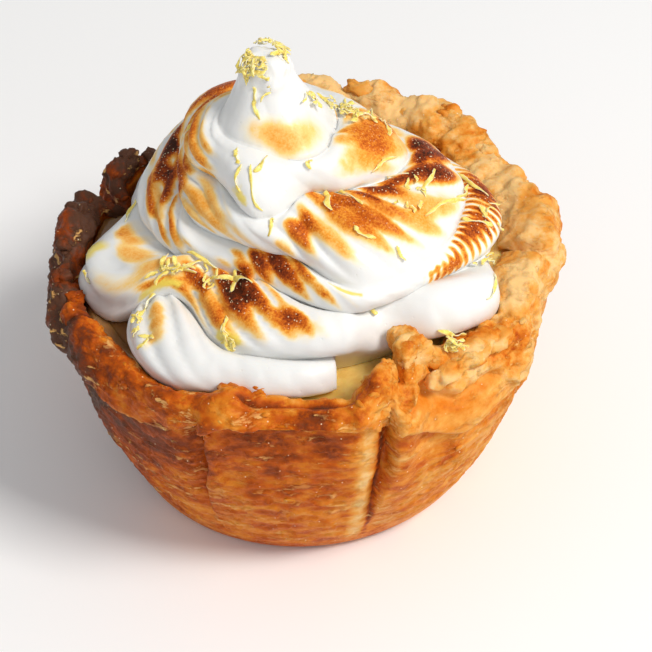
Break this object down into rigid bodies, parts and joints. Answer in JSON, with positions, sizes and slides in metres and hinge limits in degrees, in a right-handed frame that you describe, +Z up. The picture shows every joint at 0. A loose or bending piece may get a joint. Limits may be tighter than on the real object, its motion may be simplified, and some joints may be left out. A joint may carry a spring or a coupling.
{
  "type": "lemon meringue pie",
  "caption": "Individual lemon meringue pie: deep flaky pastry cup with a rolled, folded rim, lemon curd filling and one piped, toasted meringue swirl with lemon zest",
  "frame": {"origin": "in the flat base that the pie stands on, straight under the middle of the rim", "axes": "+Z up through the swirl; -Y is the side with the free end of the meringue rope, +X to its right"},
  "size_m": [0.0935, 0.0944, 0.0912],
  "materials": {
    "pastry": "flaky baked pastry, golden to brown, slightly glossy",
    "curd": "glossy set lemon curd",
    "meringue": "smooth white meringue, satin, toasted brown on its crests",
    "zest": "moist lemon zest, yellow outside and cream inside"
  },
  "bodies": {
    "root": {"crust": "pastry", "curd": "curd", "meringue": "meringue"}
  },
  "joints": []
}
